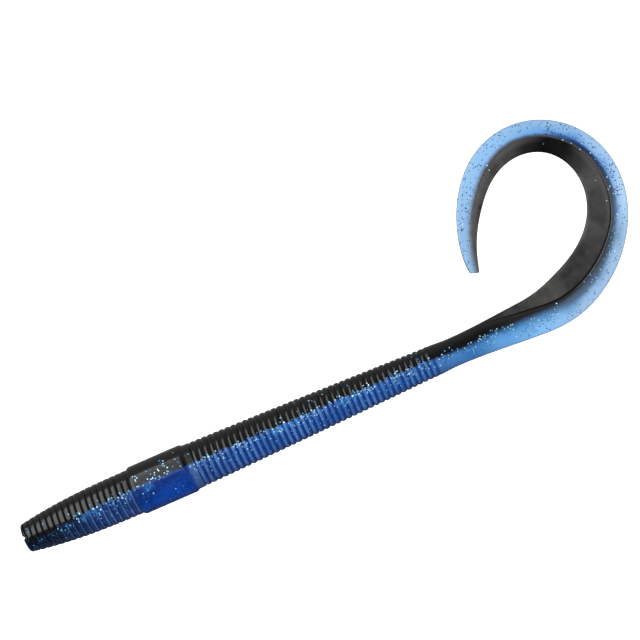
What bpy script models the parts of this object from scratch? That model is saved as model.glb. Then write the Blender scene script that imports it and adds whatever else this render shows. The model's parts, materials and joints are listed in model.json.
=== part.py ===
"""A ribbed soft-plastic fishing worm with a smooth egg sac and a curled ribbon tail.

The worm lies on its side on the plane z = 0, nose towards -X, tail curling round towards +Y. It is
cast from two pours of soft plastic that meet along its length: a black back on the +Y side and a
blue belly on the -Y side. The real casting bends everywhere. Here it is a chain of short pieces,
each with its back and its belly, that turn on upright or level hinge axes. At each hinge the piece
nearer the egg sac ends in a round knuckle, and the next piece has the socket that the knuckle
turns in. The fine ribs, the crease and the glitter belong to the finished surface, not to these
solids, which have the outer shape over the rib crests.
"""

import math

import bmesh
import bpy
import numpy as np
from mathutils import Vector

# Lengths along the middle of the worm, from the nose to the tip of the tail
HEAD_LENGTH = 0.0311
EGG_SAC_LENGTH = 0.0158
BODY_LENGTH = 0.0684
WRIST_LENGTH = 0.0227
TAIL_LENGTH = 0.116

# Diameters of the round part, over the crests of the ribs
NOSE_DIAMETER = 0.0076
HEAD_DIAMETER = 0.0120
EGG_SAC_DIAMETER = 0.01295
SHOULDER_DIAMETER = 0.0121
BODY_END_DIAMETER = 0.0082
WRIST_DIAMETER = 0.0076

# The ribbon tail: its greatest width, and its thickness along the bead, over the web and at the rim
TAIL_WIDTH = 0.0125
TIP_WIDTH = 0.0024
BEAD_THICKNESS = 0.0034
WEB_THICKNESS = 0.0016
RIM_THICKNESS = 0.0010
TIP_THICKNESS = 0.0013

# Shapes of the long tapers and of the small roundings
NOSE_ROUND = 0.0006
SAC_SHOULDER = 0.0008
WRIST_NECK = 0.0055
HEAD_FULLNESS = 2.5
BODY_TAPER = 1.2
SAC_LIFT_RUN = 0.025

# How far the tail curls in all, and the limits of each kind of hinge, in degrees
CURL = 270.0
UNCURL_EACH = 33.0

# How the casting is divided into hinged pieces
BODY_PIECES = 4
TAIL_HINGES = 8
WAG_PLACE = 0.0135  # of the tail's level hinge, behind the end of the ribs

# Clearances between solids, and how closely a knuckle fits the width of its piece
POUR_GAP = 0.0003
HINGE_GAP = 0.0003
KNUCKLE_ROOM = 0.00002

# Fineness of the faceted surface
SECTION_STEPS = 5
RING_STEP = 0.0036
CENTRELINE_STEP = 0.0001

SAC_START = HEAD_LENGTH
SAC_END = SAC_START + EGG_SAC_LENGTH
BODY_END = SAC_END + BODY_LENGTH
TAIL_START = BODY_END + WRIST_LENGTH
TIP = TAIL_START + TAIL_LENGTH

# Along the tail, as shares of its length: how wide it is, as a share of its greatest width
TAIL_OUTLINE = ((0.03, 0.80), (0.16, 1.0), (0.33, 0.875), (0.46, 0.80), (0.60, 0.685),
                (0.72, 0.645), (0.83, 0.56), (0.92, 0.41), (0.98, 0.27))
# how fast it turns in the main loop, in degrees for a whole tail's length
LOOP_TURN = ((0.017, 0.0), (0.086, 208.0), (0.19, 189.0), (0.32, 259.0), (0.45, 343.0),
             (0.60, 408.0), (0.74, 370.0), (0.86, 0.0))
# how the hooked end shares out the rest of the curl, as relative rates
HOOK_TURN = ((0.74, 0.0), (0.86, 0.65), (1.0, 1.0))
# and how much of its width the black pour takes, measured from the inner edge
TAIL_BLACK = ((0.045, 0.54), (0.21, 0.64), (0.32, 0.64), (0.46, 0.55), (0.65, 0.51),
              (0.83, 0.41), (1.0, 0.5))
NOSE_BLACK = 0.60
BODY_BLACK = 0.45
WRIST_BLACK = 0.42

COLOURS = {
    "back_black": (0.012, 0.012, 0.014, 0.32),
    "back_web": (0.045, 0.044, 0.045, 0.5),
    "belly_blue": (0.016, 0.07, 0.42, 0.3),
    "sac_blue": (0.004, 0.03, 0.36, 0.22),
    "tail_blue": (0.22, 0.5, 0.92, 0.35),
}


def smooth(stations, at):
    """A smooth curve through (place, value) stations that never overshoots them."""
    places, values = (np.array(column, float) for column in zip(*stations))
    at = min(max(at, places[0]), places[-1])
    runs = np.diff(places)
    rises = np.diff(values) / runs
    slopes = np.zeros(len(places))
    for i in range(1, len(rises)):
        if rises[i - 1] * rises[i] > 0:
            slopes[i] = 2.0 / (1.0 / rises[i - 1] + 1.0 / rises[i])
    slopes[0], slopes[-1] = rises[0], rises[-1]
    i = min(int(np.searchsorted(places, at, side="right")) - 1, len(runs) - 1)
    x = (at - places[i]) / runs[i]
    return float(
        values[i] * (1 + 2 * x) * (1 - x) ** 2
        + slopes[i] * runs[i] * x * (1 - x) ** 2
        + values[i + 1] * x * x * (3 - 2 * x)
        + slopes[i + 1] * runs[i] * x * x * (x - 1)
    )


def ease(x):
    """0 below 0, 1 above 1, and a soft S between."""
    x = min(max(x, 0.0), 1.0)
    return x * x * (3 - 2 * x)


def along_tail(stations, scale=1.0):
    """Stations given as shares of the tail, as places along the worm."""
    return tuple((TAIL_START + share * TAIL_LENGTH, value * scale) for share, value in stations)


def blank_diameter(s):
    """The round part's diameter without the egg sac's step and the nose's rounding."""
    if s < SAC_START:
        x = s / HEAD_LENGTH
        return NOSE_DIAMETER + (HEAD_DIAMETER - NOSE_DIAMETER) * (1 - (1 - x) ** HEAD_FULLNESS)
    if s < SAC_END:
        x = (s - SAC_START) / EGG_SAC_LENGTH
        return HEAD_DIAMETER + (SHOULDER_DIAMETER - HEAD_DIAMETER) * x
    x = min((s - SAC_END) / BODY_LENGTH, 1.0)
    return SHOULDER_DIAMETER + (BODY_END_DIAMETER - SHOULDER_DIAMETER) * x**BODY_TAPER


def sac_step(s):
    """How much the egg sac stands out in diameter, with a short slope at each end."""
    into = min(s - SAC_START, SAC_END - s) / SAC_SHOULDER
    blank = blank_diameter(min(max(s, SAC_START), SAC_END))
    return (EGG_SAC_DIAMETER - blank) * min(max(into, 0.0), 1.0)


def width(s):
    """The casting's width in its own plane, from the inner to the outer edge."""
    if s > BODY_END:
        neck = ((BODY_END, BODY_END_DIAMETER), (BODY_END + WRIST_NECK, WRIST_DIAMETER))
        tip = ((TIP, TIP_WIDTH),)
        return smooth(neck + along_tail(TAIL_OUTLINE, TAIL_WIDTH) + tip, s)
    nose = min(s / NOSE_ROUND, 1.0)
    rounding = 2 * NOSE_ROUND * (1 - math.sqrt(1 - (1 - nose) ** 2))
    return blank_diameter(s) + sac_step(s) - rounding


def thickness(s):
    """The casting's greatest thickness, square to its plane."""
    if s > BODY_END:
        neck = ((BODY_END, BODY_END_DIAMETER), (BODY_END + WRIST_NECK, WRIST_DIAMETER))
        tail = ((0.16, BEAD_THICKNESS), (0.6, 0.75 * BEAD_THICKNESS), (1.0, TIP_THICKNESS))
        return smooth(neck + along_tail(tail), s)
    return width(s)


def flatness(s):
    """0 where the section is round, 1 where it is a ribbon."""
    start = BODY_END + WRIST_NECK
    return ease((s - start) / (TAIL_START + 0.16 * TAIL_LENGTH - start))


def black_share(s):
    """How much of the width the black pour takes, from the inner edge."""
    head = ((0.0, NOSE_BLACK), (SAC_START, BODY_BLACK), (BODY_END, BODY_BLACK))
    wrist = ((BODY_END + 0.6 * WRIST_LENGTH, WRIST_BLACK),)
    return smooth(head + wrist + along_tail(TAIL_BLACK), s)


def half_thickness(s, share):
    """Half the thickness at a share of the width, 0 at the inner edge and 1 at the outer."""
    off = abs(2 * share - 1)
    round_part = 0.5 * thickness(s) * math.sqrt(max(1 - off**2, 0.0))
    flat = flatness(s)
    if flat == 0:
        return round_part
    crest = black_share(s)
    beside = min(abs(share - crest) / 0.25, 1.0)
    side = WEB_THICKNESS if share < crest else RIM_THICKNESS
    side = min(side, 0.8 * thickness(s))
    edge = max(1 - off**4, 0.0) ** 0.25
    ribbon = 0.5 * (thickness(s) + (side - thickness(s)) * ease(beside)) * edge
    return round_part + (ribbon - round_part) * flat


def lie(s):
    """Height of the middle of the casting, lying on its side and over its egg sac."""
    away = max(SAC_START - s, s - SAC_END, 0.0) / SAC_LIFT_RUN
    proud = (EGG_SAC_DIAMETER - blank_diameter(min(max(s, SAC_START), SAC_END))) / 2
    base = blank_diameter(s) if s <= BODY_END else thickness(s)
    return base / 2 + proud * (1 - ease(away))


def turned(s, stations):
    """The angle turned by each place along the worm, for rates given along the tail."""
    places, rates = zip(*along_tail(stations, 1 / TAIL_LENGTH))
    rate = np.interp(s, places, rates, left=0.0)
    return np.concatenate([[0.0], np.cumsum((rate[1:] + rate[:-1]) / 2 * np.diff(s))])


def centreline():
    """Arc length, x, y and heading, in steps along the middle of the worm."""
    steps = int(round(TIP / CENTRELINE_STEP))
    s = np.linspace(0.0, TIP, steps + 1)
    loop = turned(s, LOOP_TURN)
    hook = turned(s, HOOK_TURN)
    heading = np.radians(loop + hook * (CURL - loop[-1]) / hook[-1])
    middle = (heading[1:] + heading[:-1]) / 2
    x = np.concatenate([[0.0], np.cumsum(np.cos(middle) * np.diff(s))])
    y = np.concatenate([[0.0], np.cumsum(np.sin(middle) * np.diff(s))])
    return s, x, y, heading


LINE = centreline()


def spot(s, across=0.0, up=0.0):
    """The point at arc length s, moved across towards the inner edge and up from the middle."""
    x, y, heading = (float(np.interp(s, LINE[0], column)) for column in LINE[1:])
    return Vector((x - across * math.sin(heading), y + across * math.cos(heading), lie(s) + up))


def heading_at(s):
    return float(np.interp(s, LINE[0], LINE[3]))


def place_of_heading(angle):
    """Where along the worm it has turned by this angle."""
    return float(np.interp(angle, LINE[3], LINE[0]))


class Hinge:
    """A knuckle and socket about an axis through the middle of the worm.

    Level axes lie across the worm and let it sway out of its plane. Upright axes let it arch in
    its plane. The knuckle points away from the egg sac: side is 1 towards the tail, -1 at the neck.
    """

    def __init__(self, name, s, level, side=1):
        self.name = name
        self.s = s
        self.level = level
        self.side = side
        self.point = spot(s)
        heading = heading_at(s)
        self.forward = Vector((math.cos(heading), math.sin(heading), 0.0))
        self.radius = (thickness(s) if level else width(s)) / 2 + KNUCKLE_ROOM

    def distance(self, point):
        """Distance from the hinge's axis."""
        off = point - self.point
        if self.level:
            return math.hypot(off.dot(self.forward), off.z)
        return math.hypot(off.x, off.y)

    def meet(self, line, radius):
        """Where a line along the worm leaves the hinge's cylinder, on the knuckle's side."""
        near, far = self.s, self.s + self.side * 2 * radius
        for _ in range(40):
            middle = (near + far) / 2
            if self.distance(line(middle)) < radius:
                near = middle
            else:
                far = middle
        return near


class Pour:
    """One of the two colours of plastic, with the lines of its surface from the rim to the wall."""

    def __init__(self, name):
        self.name = name
        self.back = name == "back"

    def wall_angle(self, s):
        half_gap = POUR_GAP / 2 / width(s)
        wall = black_share(s) + (-half_gap if self.back else half_gap)
        return math.acos(1 - 2 * wall)

    def share(self, s, step):
        """Share of the width at a step from the rim, 0, to the wall between pours."""
        angle = self.wall_angle(s)
        part = step / SECTION_STEPS
        turn = angle * part if self.back else math.pi - (math.pi - angle) * part
        return (1 - math.cos(turn)) / 2

    def line(self, step, level=1.0, at_wall=False):
        """A line along the worm: level is 1 on top, -1 underneath and 0 at mid height."""

        def point(s):
            share = self.share(s, step)
            up = level * half_thickness(s, share)
            across = 0.5 - (self.share(s, SECTION_STEPS) if at_wall else share)
            return spot(s, across * width(s), up)

        return point

    def lines(self, walled):
        """Lines round the section: over the top, down the wall, and back underneath."""
        top = [self.line(step) for step in range(SECTION_STEPS + 1)]
        under = [self.line(step, -1.0) for step in range(SECTION_STEPS, 0, -1)]
        if not walled:
            return top + under
        down = [self.line(step, 1.0, True) for step in range(SECTION_STEPS - 1, 0, -1)]
        middle = [self.line(0, 0.0, True)]
        rising = [self.line(step, -1.0, True) for step in range(1, SECTION_STEPS)]
        return top + down + middle + rising + under


class Piece:
    """A stretch of the worm between two ends, each a hinge's knuckle or socket, or a flat end."""

    def __init__(self, name, start, end, extra=()):
        self.name = name
        self.start = start
        self.end = end
        self.extra = extra
        self.walled = any(end.level for end in (start, end) if isinstance(end, Hinge))

    def cut(self, lines, end, first):
        """Arc length at which each line ends, at the first or the last end of the piece."""
        if not isinstance(end, Hinge):
            return [end] * len(lines)
        knuckle = (end.side > 0) != first
        radius = end.radius + (0.0 if knuckle else HINGE_GAP)
        return [end.meet(line, radius) for line in lines]

    def rings(self, lines):
        """Arc lengths of every ring, line by line."""
        stops = [self.cut(lines, self.start, True)]
        stops += [[place] * len(lines) for place in self.extra]
        stops += [self.cut(lines, self.end, False)]
        rings = [stops[0]]
        for a, b in zip(stops, stops[1:]):
            longest = max(v - u for u, v in zip(a, b))
            count = max(1, math.ceil(longest / RING_STEP))
            for n in range(1, count + 1):
                rings.append([u + (v - u) * n / count for u, v in zip(a, b)])
        return rings

    def cap(self, mesh, ring, end):
        """Closes one end with strips that lie on the hinge's cylinder, or with one flat face."""
        count = len(ring)
        if not isinstance(end, Hinge):
            mesh.faces.new(ring)
            return
        if not end.level:
            for step in range(1, SECTION_STEPS):
                mesh.faces.new((ring[step], ring[step + 1], ring[-step - 1], ring[-step])
                               if step + 1 < SECTION_STEPS or not self.walled
                               else ring[step : count - step + 1])
            mesh.faces.new((ring[0], ring[1], ring[-1]))
            return
        for half in (1, -1):
            for step in range(SECTION_STEPS - 1):
                edge = [ring[half * step], ring[half * (step + 1)]]
                inner = [ring[half * (2 * SECTION_STEPS - step - 1)],
                         ring[half * (2 * SECTION_STEPS - step)]]
                mesh.faces.new(edge + inner)
            last = half * (SECTION_STEPS - 1)
            mesh.faces.new((ring[last], ring[last + half], ring[last + 2 * half]))

    def solid(self, pour):
        """The closed mesh of one pour of this piece."""
        lines = pour.lines(self.walled)
        mesh = bmesh.new()
        rings = []
        for places in self.rings(lines):
            rings.append([mesh.verts.new(line(s)) for line, s in zip(lines, places)])
        for a, b in zip(rings, rings[1:]):
            for i in range(len(lines)):
                n = (i + 1) % len(lines)
                mesh.faces.new((a[i], a[n], b[n], b[i]))
        self.cap(mesh, rings[0], self.start)
        self.cap(mesh, rings[-1], self.end)
        bmesh.ops.recalc_face_normals(mesh, faces=mesh.faces)
        return mesh


def make_hinges():
    """Every hinge from the neck to the end of the tail."""
    neck = Hinge("neck_sway", SAC_START, level=True, side=-1)
    step = BODY_LENGTH / BODY_PIECES
    hinges = [Hinge("collar_arch", SAC_END, level=False)]
    for n in range(1, BODY_PIECES):
        level = n % 2 == 1
        kind = "sway" if level else "arch"
        hinges.append(Hinge(f"body_{kind}_{n}", SAC_END + n * step, level))
    hinges.append(Hinge("waist_arch", BODY_END, level=False))
    hinges.append(Hinge("tail_wag", BODY_END + WAG_PLACE, level=True))
    for n in range(TAIL_HINGES):
        angle = math.radians(CURL) * (n + 0.5) / TAIL_HINGES
        hinges.append(Hinge(f"tail_uncurl_{n + 1}", place_of_heading(angle), level=False))
    return neck, hinges


def make_pieces(neck, hinges):
    """The pieces in order, the root first: (piece, its hinge, the name of its parent)."""
    names = [f"body_{n + 1}" for n in range(BODY_PIECES)] + ["wrist"]
    names += [f"tail_{n + 1}" for n in range(TAIL_HINGES + 1)]
    shoulders = (SAC_START + SAC_SHOULDER, SAC_END - SAC_SHOULDER)
    pieces = [(Piece("egg_sac", neck, hinges[0], (SAC_START, *shoulders, SAC_END)), None, None)]
    pieces.append((Piece("head", 0.0, neck, (NOSE_ROUND / 3, NOSE_ROUND)), neck, "egg_sac"))
    parent = "egg_sac"
    for name, hinge, following in zip(names, hinges, hinges[1:] + [TIP]):
        pieces.append((Piece(name, hinge, following), hinge, parent))
        parent = name
    return pieces


def material(name, key):
    """A plain glossy plastic, one for each node."""
    red, green, blue, roughness = COLOURS[key]
    made = bpy.data.materials.new(name)
    made.use_nodes = True
    shader = made.node_tree.nodes["Principled BSDF"]
    shader.inputs["Base Color"].default_value = (red, green, blue, 1.0)
    shader.inputs["Roughness"].default_value = roughness
    shader.inputs["Metallic"].default_value = 0.0
    shader.inputs["Coat Weight"].default_value = 0.4
    made.diffuse_color = (red, green, blue, 1.0)
    return made


def colour_key(piece, pour):
    """Which finish a node has."""
    tail = piece.name.startswith("tail")
    if pour.back:
        return "back_web" if tail else "back_black"
    if piece.name == "egg_sac":
        return "sac_blue"
    return "tail_blue" if tail else "belly_blue"


def clear_scene():
    for old in list(bpy.data.objects):
        bpy.data.objects.remove(old, do_unlink=True)


def empty(name, location, parent):
    """A marker on a hinge's axis that carries the nodes of one moving piece."""
    made = bpy.data.objects.new(name, None)
    made.empty_display_size = 0.004
    bpy.context.scene.collection.objects.link(made)
    made.parent = parent
    made.location = location - (parent_place(parent) if parent else Vector())
    return made


def parent_place(marker):
    """World position of a marker, which is never turned."""
    place = Vector(marker.location)
    while marker.parent:
        marker = marker.parent
        place += marker.location
    return place


def main():
    clear_scene()
    neck, hinges = make_hinges()
    pieces = make_pieces(neck, hinges)
    pours = (Pour("back"), Pour("belly"))
    solids = [(piece, pour, piece.solid(pour)) for piece, _, _ in pieces for pour in pours]

    # The frame's origin is under the middle of the whole worm's box
    points = np.array([v.co for _, _, mesh in solids for v in mesh.verts])
    low, high = points.min(axis=0), points.max(axis=0)
    origin = Vector(((low[0] + high[0]) / 2, (low[1] + high[1]) / 2, low[2]))

    markers = {}
    for piece, hinge, parent in pieces:
        place = (hinge.point if hinge else spot((SAC_START + SAC_END) / 2)) - origin
        markers[piece.name] = empty(f"{piece.name}_pivot", place, markers.get(parent))

    for piece, pour, mesh in solids:
        name = f"{piece.name}_{pour.name}"
        marker = markers[piece.name]
        bmesh.ops.translate(mesh, verts=mesh.verts, vec=-origin - parent_place(marker))
        data = bpy.data.meshes.new(name)
        mesh.to_mesh(data)
        mesh.free()
        made = bpy.data.objects.new(name, data)
        bpy.context.scene.collection.objects.link(made)
        made.parent = marker
        data.materials.append(material(name, colour_key(piece, pour)))
        data.shade_smooth()
        data.set_sharp_from_angle(angle=math.radians(40))


if __name__ == "__main__":
    main()
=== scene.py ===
# %% [markdown]
# The worm lies on its side, nose to the left, and its ribbon tail curls round to the far side. The
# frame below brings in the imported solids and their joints. Everything that follows is made in the
# same frame, in metres, so nothing has to be fitted to it afterwards.

# %% The frame, and the space that the worm fills
import json
import math

import bpy
import numpy as np
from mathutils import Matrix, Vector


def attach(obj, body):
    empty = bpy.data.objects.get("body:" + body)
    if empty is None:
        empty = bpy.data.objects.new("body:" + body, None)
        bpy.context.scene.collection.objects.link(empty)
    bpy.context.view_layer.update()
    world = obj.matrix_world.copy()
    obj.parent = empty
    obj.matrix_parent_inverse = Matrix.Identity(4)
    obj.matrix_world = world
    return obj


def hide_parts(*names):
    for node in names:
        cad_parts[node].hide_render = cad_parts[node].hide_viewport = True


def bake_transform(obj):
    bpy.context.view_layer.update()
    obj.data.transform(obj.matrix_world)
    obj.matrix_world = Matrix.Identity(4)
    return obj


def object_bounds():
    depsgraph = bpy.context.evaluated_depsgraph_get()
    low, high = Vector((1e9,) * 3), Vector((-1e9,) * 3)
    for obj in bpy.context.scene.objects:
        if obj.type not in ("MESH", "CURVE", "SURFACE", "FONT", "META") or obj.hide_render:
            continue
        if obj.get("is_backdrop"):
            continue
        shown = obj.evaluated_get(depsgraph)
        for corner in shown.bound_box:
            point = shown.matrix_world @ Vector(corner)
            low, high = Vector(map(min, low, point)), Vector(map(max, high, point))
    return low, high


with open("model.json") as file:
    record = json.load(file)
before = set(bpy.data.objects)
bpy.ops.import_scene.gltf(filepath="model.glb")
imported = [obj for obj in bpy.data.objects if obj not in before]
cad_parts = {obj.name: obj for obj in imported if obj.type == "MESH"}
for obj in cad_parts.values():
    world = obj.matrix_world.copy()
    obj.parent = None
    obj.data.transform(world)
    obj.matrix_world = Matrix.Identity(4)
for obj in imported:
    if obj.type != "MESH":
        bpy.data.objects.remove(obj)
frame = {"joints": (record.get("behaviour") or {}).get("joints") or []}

CAD_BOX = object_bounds()
print("box in mm:", [round(1000 * side, 2) for side in CAD_BOX[1] - CAD_BOX[0]])

# %% [markdown]
# A soft worm is one casting, poured into a mould from two colours. Its sizes follow the mould: lengths
# are measured along its middle, from the nose to the tip of the tail, and diameters over the crests
# of the ribs. They are the same driving sizes as those of the solids, because a script that only
# reads the frame can't look them up.

# %% Sizes of the casting, in metres
MM = 0.001
HEAD_LENGTH, EGG_SAC_LENGTH, BODY_LENGTH = 31.1 * MM, 15.8 * MM, 68.4 * MM
WRIST_LENGTH, TAIL_LENGTH = 22.7 * MM, 116.0 * MM
NOSE_DIAMETER, HEAD_DIAMETER, EGG_SAC_DIAMETER = 7.6 * MM, 12.0 * MM, 12.95 * MM
SHOULDER_DIAMETER, BODY_END_DIAMETER, WRIST_DIAMETER = 12.1 * MM, 8.2 * MM, 7.6 * MM
TAIL_WIDTH, TIP_WIDTH = 12.5 * MM, 2.4 * MM
BEAD_THICKNESS, WEB_THICKNESS, BLADE_THICKNESS, TIP_THICKNESS = 3.4 * MM, 1.6 * MM, 1.0 * MM, 1.3 * MM
NOSE_ROUND, TIP_ROUND, SAC_SHOULDER, WRIST_NECK = 0.6 * MM, 0.4 * MM, 0.8 * MM, 5.5 * MM
TIP_SLANT_INNER, TIP_SLANT_OUTER, TIP_SLANT_RUN = 1.0 * MM, 0.5 * MM, 7.0 * MM
SAC_LIFT_RUN = 25.0 * MM
HEAD_FULLNESS, BODY_TAPER = 2.5, 1.2

SAC_START = HEAD_LENGTH
SAC_END = SAC_START + EGG_SAC_LENGTH
BODY_END = SAC_END + BODY_LENGTH
TAIL_START = BODY_END + WRIST_LENGTH
TIP = TAIL_START + TAIL_LENGTH
NECK_END = BODY_END + WRIST_NECK
print("length along the middle, mm:", round(TIP / MM, 1))

# %% [markdown]
# Long tapers and slow curves look right when they are drawn through a few stations with one smooth
# curve, as a spline does through its points. This one never overshoots its stations, so a width
# that should only shrink does only shrink. It works on whole arrays, one number for each vertex.

# %% Smooth curves through a few stations
def smooth(stations, at):
    places, values = (np.array(column, float) for column in zip(*stations))
    at = np.clip(at, places[0], places[-1])
    runs = np.diff(places)
    rises = np.diff(values) / runs
    slopes = np.zeros(len(places))
    slopes[0], slopes[-1] = rises[0], rises[-1]
    for i in range(1, len(rises)):
        if rises[i - 1] * rises[i] > 0:
            slopes[i] = 2 / (1 / rises[i - 1] + 1 / rises[i])
    i = np.clip(np.searchsorted(places, at, side="right") - 1, 0, len(runs) - 1)
    x = (at - places[i]) / runs[i]
    bend = slopes[i] * runs[i] * x * (1 - x) ** 2 + slopes[i + 1] * runs[i] * x * x * (x - 1)
    return values[i] * (1 + 2 * x) * (1 - x) ** 2 + values[i + 1] * x * x * (3 - 2 * x) + bend


def ease(x):
    """0 up to 0, 1 from 1 on, and a soft S between."""
    x = np.clip(x, 0, 1)
    return x * x * (3 - 2 * x)


def along_tail(stations, scale=1.0):
    """Turns shares of the tail's length into places along the worm."""
    return tuple((TAIL_START + share * TAIL_LENGTH, value * scale) for share, value in stations)

# %% [markdown]
# The blank of the worm is round from the nose to the wrist: a full head, the egg sac that stands
# proud by less than half a millimetre, and a body that tapers to the wrist. From there it flattens
# into the ribbon. Width is measured in the plane that the worm lies in, thickness square to it.

# %% Width and thickness along the worm
TAIL_OUTLINE = ((0.03, 0.80), (0.16, 1.0), (0.33, 0.875), (0.46, 0.80), (0.60, 0.685),
                (0.72, 0.645), (0.83, 0.56), (0.92, 0.41), (0.98, 0.27))
NECK = ((BODY_END, BODY_END_DIAMETER), (NECK_END, WRIST_DIAMETER))
FLAT_SHARE = 0.16
FLAT_FROM = TAIL_START + FLAT_SHARE * TAIL_LENGTH
TAIL_THICKNESS = ((FLAT_SHARE, BEAD_THICKNESS), (0.6, 0.75 * BEAD_THICKNESS), (1.0, TIP_THICKNESS))
TIP_THINNING = 1.2
SAC_MIDDLE = SAC_START + 0.5 * EGG_SAC_LENGTH


def blank_diameter(s):
    """Over the ribs, from the nose to the end of the body, as if there were no egg sac."""
    head = NOSE_DIAMETER + (HEAD_DIAMETER - NOSE_DIAMETER) * (
        1 - (1 - np.clip(s / HEAD_LENGTH, 0, 1)) ** HEAD_FULLNESS)
    sac = np.interp(s, (SAC_START, SAC_END), (HEAD_DIAMETER, SHOULDER_DIAMETER))
    taper = np.clip((s - SAC_END) / BODY_LENGTH, 0, 1) ** BODY_TAPER
    body = SHOULDER_DIAMETER + (BODY_END_DIAMETER - SHOULDER_DIAMETER) * taper
    return np.where(s < SAC_START, head, np.where(s < SAC_END, sac, body))


def sac_step(s):
    """How much wider the egg sac makes the worm."""
    into = np.minimum(s - SAC_START, SAC_END - s) / SAC_SHOULDER
    blank = blank_diameter(np.clip(s, SAC_START, SAC_END))
    return (EGG_SAC_DIAMETER - blank) * np.clip(into, 0, 1)


def end_rounding(s, end, radius):
    """How far a rounded end has pulled in, on each side."""
    into = np.clip(np.abs(s - end) / radius, 0, 1)
    return radius * (1 - np.sqrt(1 - (1 - into) ** 2))


def width(s):
    flat = smooth(NECK + along_tail(TAIL_OUTLINE, TAIL_WIDTH) + ((TIP, TIP_WIDTH),), s)
    full = np.where(s > BODY_END, flat, blank_diameter(s) + sac_step(s))
    return full - 2 * end_rounding(s, 0.0, NOSE_ROUND) - 2 * end_rounding(s, TIP, TIP_ROUND)


def flat_thickness(s):
    """Over the bead, from the wrist to a tip that isn't rounded yet."""
    return smooth(NECK + along_tail(TAIL_THICKNESS), s)


def thickness(s):
    flat = flat_thickness(s) - TIP_THINNING * end_rounding(s, TIP, TIP_ROUND)
    return np.where(s > BODY_END, flat, width(s))


def flatness(s):
    """0 where the section is round, 1 where it is a ribbon."""
    return ease((s - NECK_END) / (FLAT_FROM - NECK_END))


for place in (0.0, SAC_MIDDLE, BODY_END, FLAT_FROM, TIP):
    print(f"at {place / MM:5.1f} mm: {width(place) / MM:5.2f} wide, {thickness(place) / MM:5.2f} thick")

# %% [markdown]
# The middle of the worm runs straight as far as the wrist, then turns through three quarters of a
# circle. The turn is given as a rate, so the curve has no corners. It could be a Bezier curve drawn
# by hand, but then the ribbon's length would only be known by measuring it.

# %% The line along the middle of the worm
LOOP_TURN = ((0.017, 0.0), (0.086, 208.0), (0.19, 189.0), (0.32, 259.0), (0.45, 343.0),
             (0.60, 408.0), (0.74, 370.0), (0.86, 0.0))
HOOK_TURN = ((0.74, 0.0), (0.86, 0.65), (1.0, 1.0))
CURL = 270.0
LINE_STEP, LINE_SPARE = 0.1 * MM, 2 * MM


def turned(s, stations):
    """How far the line has turned, when its rate of turning runs straight between stations."""
    places, rates = zip(*along_tail(stations, 1 / TAIL_LENGTH))
    rate = np.interp(s, places, rates, left=0.0)
    return np.concatenate([[0.0], np.cumsum((rate[1:] + rate[:-1]) / 2 * np.diff(s))])


def centreline():
    """Places, x, y and heading, from the nose to a little past the tip."""
    s = np.arange(0.0, TIP + LINE_SPARE, LINE_STEP)
    loop, hook = turned(s, LOOP_TURN), turned(s, HOOK_TURN)
    heading = np.radians(loop + hook * (CURL - loop[-1]) / hook[-1])
    middle = (heading[1:] + heading[:-1]) / 2
    x = np.concatenate([[0.0], np.cumsum(np.cos(middle) * np.diff(s))])
    y = np.concatenate([[0.0], np.cumsum(np.sin(middle) * np.diff(s))])
    return s, x, y, heading


LINE = centreline()
joints = {joint["name"]: joint for joint in frame["joints"]}
neck = joints["neck_sway"]["pos_m"]
NOSE = (neck[0] - SAC_START, neck[1])
print("nose at, mm:", [round(value / MM, 2) for value in NOSE])

# %% [markdown]
# The black pour is the back, on the side that the tail curls to, and the blue pour is the belly.
# The line where they meet wanders a little across the width. On the ribbon a crease divides the
# flat black web from a round bead that fades out along the tail: there the web and the blue blade
# only meet at a small step.

# %% Where the two pours and the crease lie, as shares of the width from the inner edge
TAIL_BLACK = ((0.045, 0.54), (0.21, 0.64), (0.32, 0.64), (0.46, 0.55), (0.65, 0.51),
              (0.83, 0.41), (1.0, 0.5))
NOSE_BLACK, BODY_BLACK, WRIST_BLACK = 0.60, 0.45, 0.42
BEAD_SHARE = ((-0.15, 0.24), (-0.07, 0.32), (0.045, 0.25), (0.13, 0.15), (0.26, 0.11),
              (0.41, 0.05), (1.0, 0.05))
BEAD_FALL = ((0.0, 0.25), (0.20, 0.14), (0.41, 0.035), (1.0, 0.035))


def black_share(s):
    head = ((0.0, NOSE_BLACK), (SAC_START, BODY_BLACK), (BODY_END, BODY_BLACK))
    wrist = ((BODY_END + 0.6 * WRIST_LENGTH, WRIST_BLACK),)
    return smooth(head + wrist + along_tail(TAIL_BLACK), s)


def crease_share(s):
    """On the round part this is only where a column of the mesh runs."""
    return black_share(s) - smooth(along_tail(BEAD_SHARE), s)


print("black share of the width, body and tip:", BODY_BLACK, float(black_share(TIP)))

# %% [markdown]
# Ribs cover the head and the body. Each is a low rounded crest between two narrow grooves, cut by
# hand into the mould, so no two are quite alike. They are real relief here and not a bump in the
# material, because they show along the edge of the worm and catch the light one by one.

# %% The ribs
HEAD_RIBS, BODY_RIBS = 18, 42
NOSE_LIP = 0.9 * MM
COLLAR = 1.9 * MM
RIB_DEPTH = 0.36 * MM
HEAD_RIB_FULLNESS, BODY_RIB_FULLNESS = 6.0, 2.5
PITCH_CHANGE = 0.025
WRIST_FADE, SAC_FADE = 3.0 * MM, 2.5 * MM
FAINTEST_AT_WRIST, FAINTEST_AT_SAC = 0.25, 0.35
RIB_STEPS = 8
HAIR = 1e-9
chance = np.random.default_rng(7)
RIB_VARIATION = chance.uniform(0.82, 1.12, HEAD_RIBS + BODY_RIBS + 2)


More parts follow.
